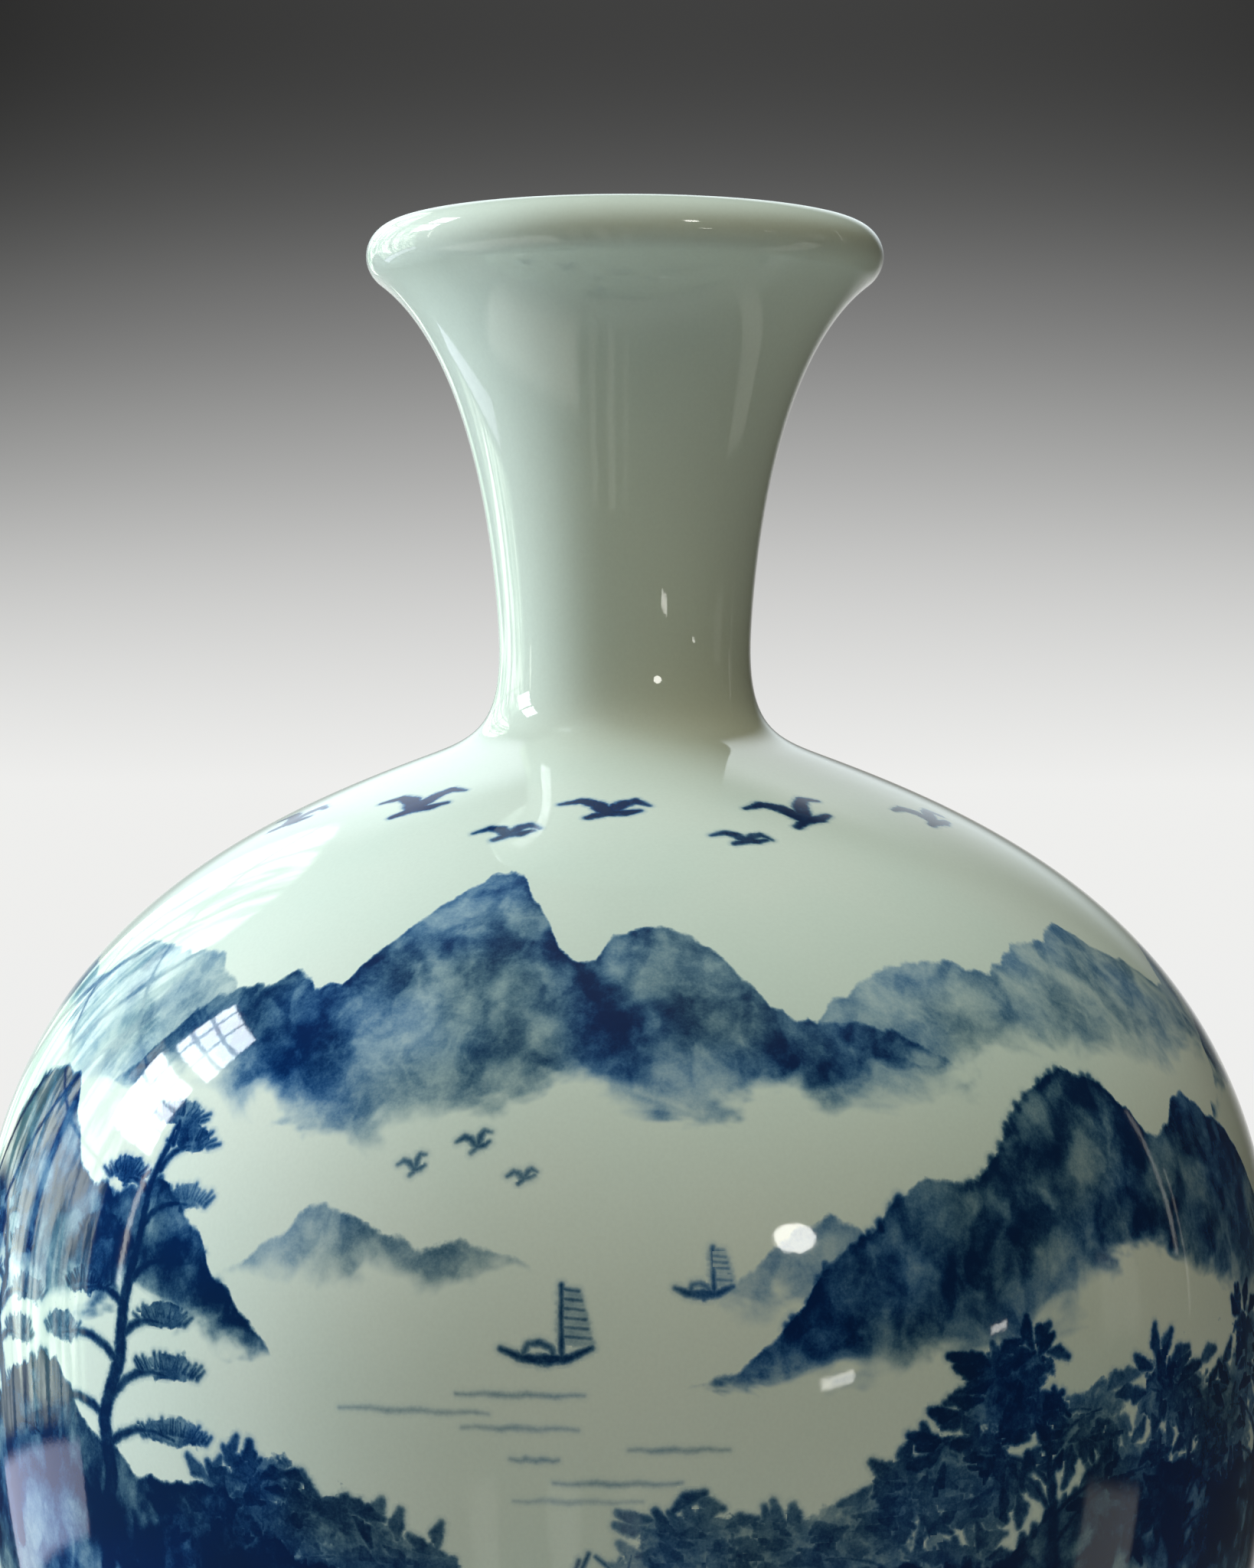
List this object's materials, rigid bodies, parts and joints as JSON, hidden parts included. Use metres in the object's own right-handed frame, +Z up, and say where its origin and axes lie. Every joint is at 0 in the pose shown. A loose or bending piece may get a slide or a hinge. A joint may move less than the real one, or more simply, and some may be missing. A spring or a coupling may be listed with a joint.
{
  "type": "vase",
  "caption": "Tall porcelain vase with a rolled lip, trumpet neck, round shoulder and tapered body on a turned foot ring, painted with a cobalt blue landscape under a clear glaze.",
  "frame": {"origin": "centre of the foot ring, on the surface that the vase stands on", "axes": "+Z up along the vase's axis; the painting's middle as pictured faces -Y"},
  "size_m": [0.24, 0.24, 0.3827],
  "materials": {
    "plain_glaze": "clear glossy glaze over white porcelain, pale celadon tint",
    "painted_glaze": "clear glossy glaze over cobalt blue brush painting on white porcelain",
    "biscuit": "unglazed matt porcelain"
  },
  "bodies": {
    "root": {"neck": "plain_glaze", "neck_slip_seam": "biscuit", "upper_body": "painted_glaze", "belly_slip_seam": "biscuit", "lower_body": "painted_glaze", "foot_slip_seam": "biscuit", "foot": "painted_glaze"}
  },
  "joints": []
}
